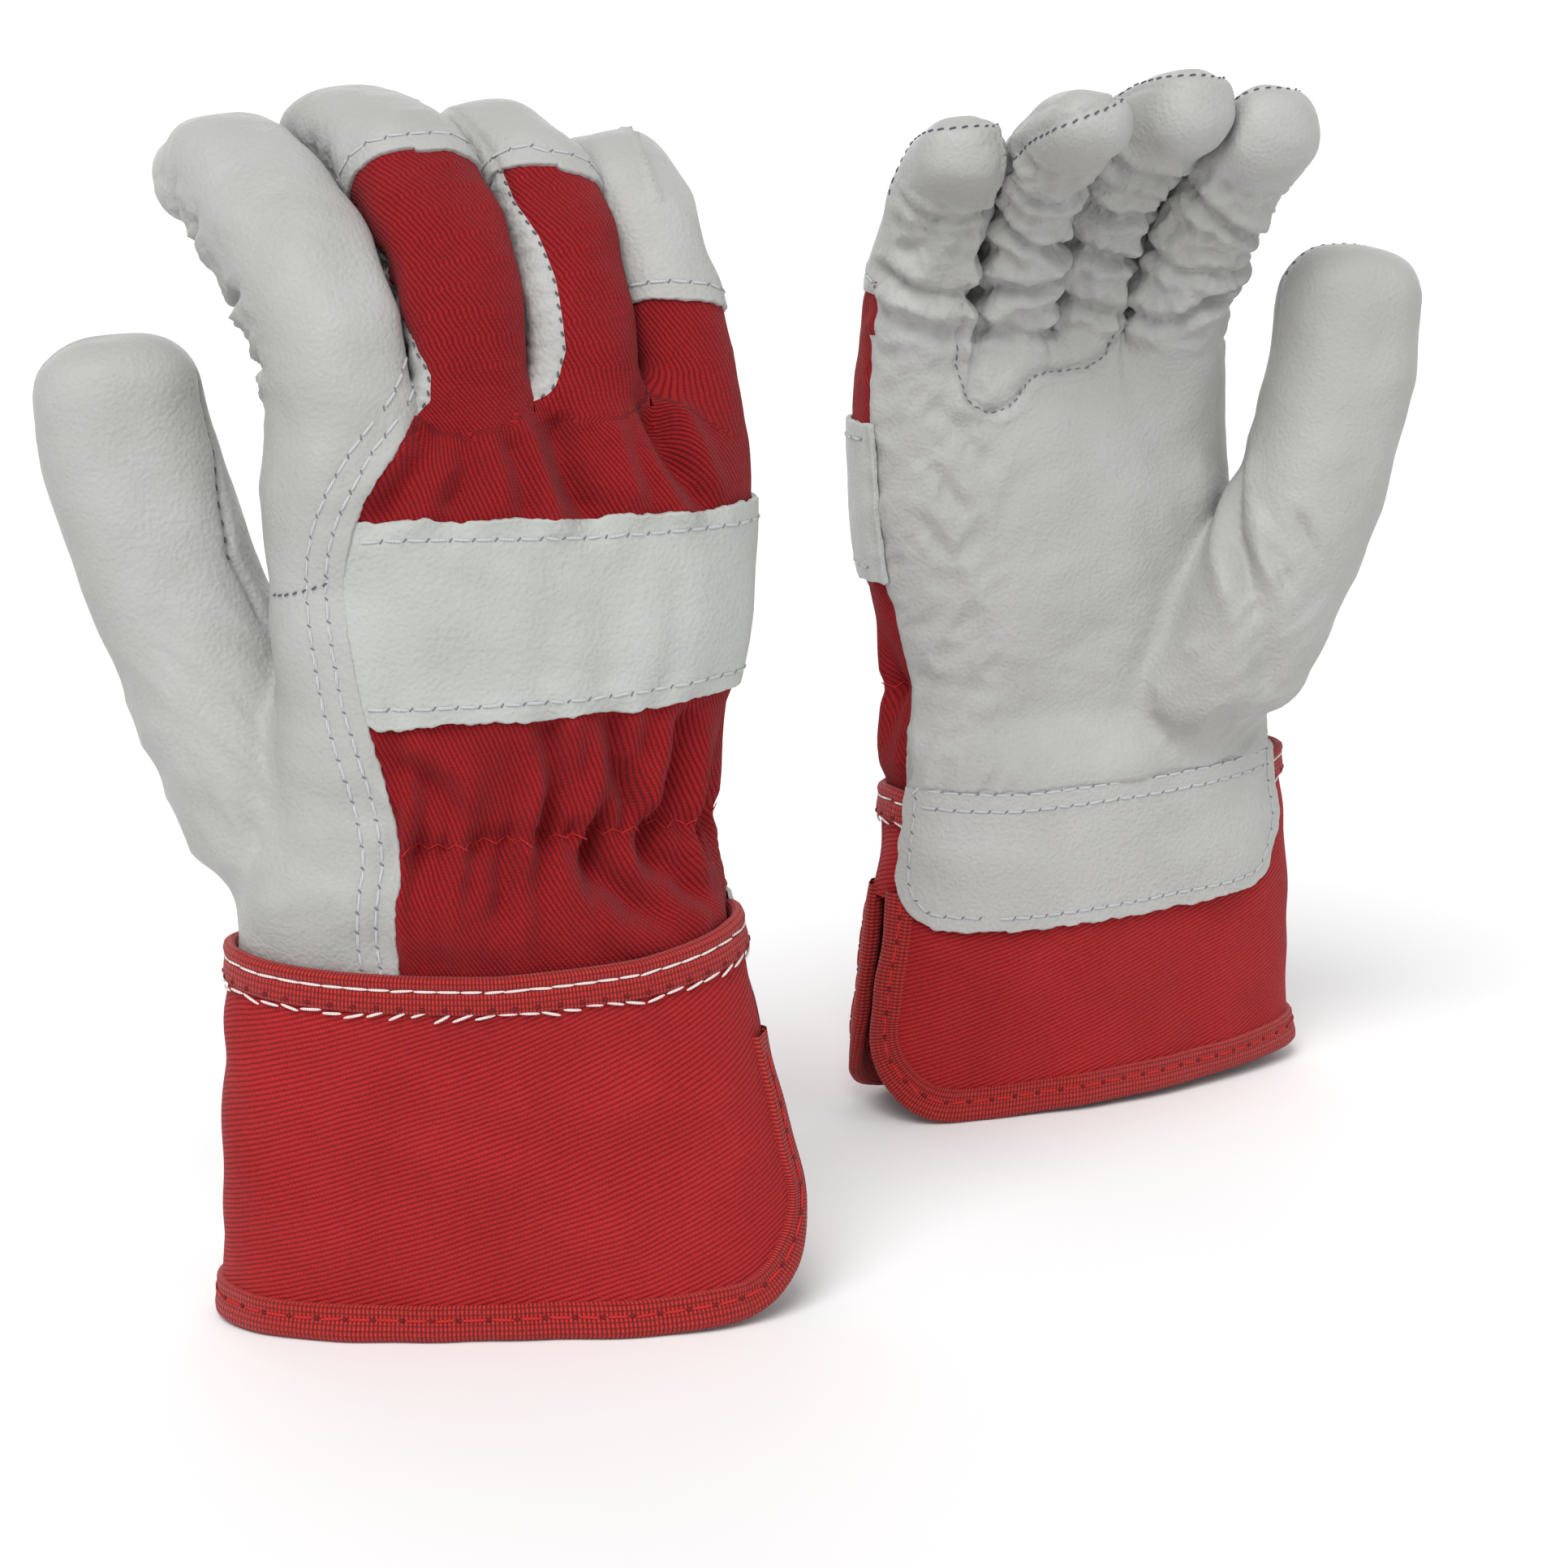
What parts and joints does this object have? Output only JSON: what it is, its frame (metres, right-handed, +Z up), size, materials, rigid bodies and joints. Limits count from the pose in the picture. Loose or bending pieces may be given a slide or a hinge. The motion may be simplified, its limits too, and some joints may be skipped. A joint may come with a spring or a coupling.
{
  "type": "work gloves",
  "caption": "Leather-palm work gloves with cotton drill backs, leather knuckle straps and wide red safety cuffs, standing on their cuff hems.",
  "frame": {"origin": "centre of the footprint box of the two standing gloves, on the surface that they stand on", "axes": "+Z up to the fingertips, +X from the near glove to the far one, +Y away from the viewer"},
  "size_m": [0.285, 0.2122, 0.232],
  "materials": {
    "leather": "smooth grain leather, off-white",
    "cotton_drill": "red cotton twill",
    "cuff_cloth": "red stiffened cotton twill",
    "binding_tape": "ribbed red tape",
    "lining": "unbleached cotton",
    "elastic": "woven elastic"
  },
  "bodies": {
    "near_cuff": {"near_cuff_cloth": "cuff_cloth", "near_cuff_top_tape": "binding_tape", "near_cuff_hem_tape": "binding_tape", "near_pull_patch": "leather"},
    "near_hand": {"near_palm_leather": "leather", "near_palm_lining": "lining", "near_back_drill": "cotton_drill", "near_knuckle_strap": "leather", "near_wrist_elastic": "elastic"},
    "near_index": {"near_index_back": "leather", "near_index_front": "leather"},
    "near_middle": {"near_middle_back": "cotton_drill", "near_middle_cap": "leather", "near_middle_fourchette": "leather", "near_middle_front": "leather"},
    "near_ring": {"near_ring_back": "cotton_drill", "near_ring_cap": "leather", "near_ring_fourchette": "leather", "near_ring_front": "leather"},
    "near_little": {"near_little_back": "cotton_drill", "near_little_cap": "leather", "near_little_fourchette": "leather", "near_little_front": "leather"},
    "near_thumb": {"near_thumb_back": "leather", "near_thumb_front": "leather"},
    "far_cuff": {"far_cuff_cloth": "cuff_cloth", "far_cuff_top_tape": "binding_tape", "far_cuff_hem_tape": "binding_tape", "far_pull_patch": "leather"},
    "far_hand": {"far_palm_leather": "leather", "far_palm_lining": "lining", "far_back_drill": "cotton_drill", "far_knuckle_strap": "leather", "far_wrist_elastic": "elastic"},
    "far_index": {"far_index_back": "leather", "far_index_front": "leather"},
    "far_middle": {"far_middle_back": "cotton_drill", "far_middle_cap": "leather", "far_middle_fourchette": "leather", "far_middle_front": "leather"},
    "far_ring": {"far_ring_back": "cotton_drill", "far_ring_cap": "leather", "far_ring_fourchette": "leather", "far_ring_front": "leather"},
    "far_little": {"far_little_back": "cotton_drill", "far_little_cap": "leather", "far_little_fourchette": "leather", "far_little_front": "leather"},
    "far_thumb": {"far_thumb_back": "leather", "far_thumb_front": "leather"}
  },
  "joints": [
    {"name": "far_glove_apart", "type": "slide", "parent": "near_cuff", "child": "far_cuff", "axis": [1, 0, 0], "range_m": [0, 0.15]},
    {"name": "near_wrist_fold", "type": "hinge", "parent": "near_cuff", "child": "near_hand", "pos_m": [-0.05949, -0.07992, 0.074], "axis": [-0.9397, -0.342, 0], "range_deg": [-15, 15], "stiffness_Nm_per_rad": 0.8},
    {"name": "near_index_fold", "type": "hinge", "parent": "near_hand", "child": "near_index", "pos_m": [-0.08615, -0.08856, 0.176], "axis": [-0.9397, -0.342, 0], "range_deg": [-8, 25], "stiffness_Nm_per_rad": 0.12},
    {"name": "near_middle_fold", "type": "hinge", "parent": "near_hand", "child": "near_middle", "pos_m": [-0.06406, -0.08052, 0.176], "axis": [-0.9397, -0.342, 0], "range_deg": [-8, 25], "stiffness_Nm_per_rad": 0.12},
    {"name": "near_ring_fold", "type": "hinge", "parent": "near_hand", "child": "near_ring", "pos_m": [-0.04217, -0.07255, 0.176], "axis": [-0.9397, -0.342, 0], "range_deg": [-8, 25], "stiffness_Nm_per_rad": 0.12},
    {"name": "near_little_fold", "type": "hinge", "parent": "near_hand", "child": "near_little", "pos_m": [-0.02099, -0.06378, 0.176], "axis": [-0.9397, -0.342, 0], "range_deg": [-8, 25], "stiffness_Nm_per_rad": 0.12},
    {"name": "near_thumb_fold", "type": "hinge", "parent": "near_hand", "child": "near_thumb", "pos_m": [-0.1099, -0.07592, 0.128], "axis": [-0.9397, -0.342, 0], "range_deg": [-8, 15], "stiffness_Nm_per_rad": 0.12},
    {"name": "far_wrist_fold", "type": "hinge", "parent": "far_cuff", "child": "far_hand", "pos_m": [0.06451, 0.07008, 0.074], "axis": [0.9135, 0.4067, 0], "range_deg": [-15, 15], "stiffness_Nm_per_rad": 0.8},
    {"name": "far_index_fold", "type": "hinge", "parent": "far_hand", "child": "far_index", "pos_m": [0.0872, 0.0769, 0.176], "axis": [0.9135, 0.4067, 0], "range_deg": [-8, 25], "stiffness_Nm_per_rad": 0.12},
    {"name": "far_middle_fold", "type": "hinge", "parent": "far_hand", "child": "far_middle", "pos_m": [0.06555, 0.06726, 0.176], "axis": [0.9135, 0.4067, 0], "range_deg": [-8, 25], "stiffness_Nm_per_rad": 0.12},
    {"name": "far_ring_fold", "type": "hinge", "parent": "far_hand", "child": "far_ring", "pos_m": [0.0449, 0.05806, 0.176], "axis": [0.9135, 0.4067, 0], "range_deg": [-8, 25], "stiffness_Nm_per_rad": 0.12},
    {"name": "far_little_fold", "type": "hinge", "parent": "far_hand", "child": "far_little", "pos_m": [0.0251, 0.0487, 0.176], "axis": [0.9135, 0.4067, 0], "range_deg": [-8, 25], "stiffness_Nm_per_rad": 0.12},
    {"name": "far_thumb_fold", "type": "hinge", "parent": "far_hand", "child": "far_thumb", "pos_m": [0.11507, 0.0696, 0.128], "axis": [0.9135, 0.4067, 0], "range_deg": [-8, 15], "stiffness_Nm_per_rad": 0.12}
  ]
}
